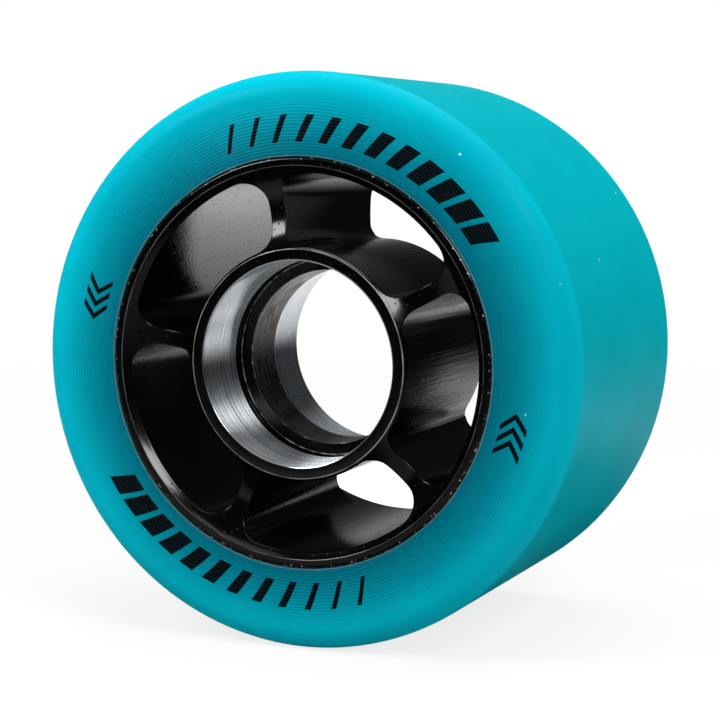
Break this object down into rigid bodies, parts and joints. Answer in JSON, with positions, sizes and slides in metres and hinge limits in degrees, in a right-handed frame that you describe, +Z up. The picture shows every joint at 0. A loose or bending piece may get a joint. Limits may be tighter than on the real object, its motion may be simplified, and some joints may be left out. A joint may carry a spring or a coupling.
{
  "type": "roller skate wheel",
  "caption": "Quad roller skate wheel: a wide cast urethane tyre bonded on a spoked aluminium hub, with a bearing seat at each end of the hub's barrel.",
  "frame": {"origin": "centre of the wheel: on its axis, midway between the front face and the rear edge of the tyre", "axes": "+Y along the wheel's axis from the front face to the rear, where the skate's truck is; +Z up and +X to the right as seen from the front"},
  "size_m": [0.062, 0.039, 0.062],
  "materials": {
    "urethane": "cast urethane, slightly translucent, with fine turning lines and a soft gloss",
    "black_aluminium": "black anodised, semi-gloss, with bare bored bearing seats"
  },
  "bodies": {
    "root": {"tyre": "urethane", "hub": "black_aluminium"}
  },
  "joints": []
}
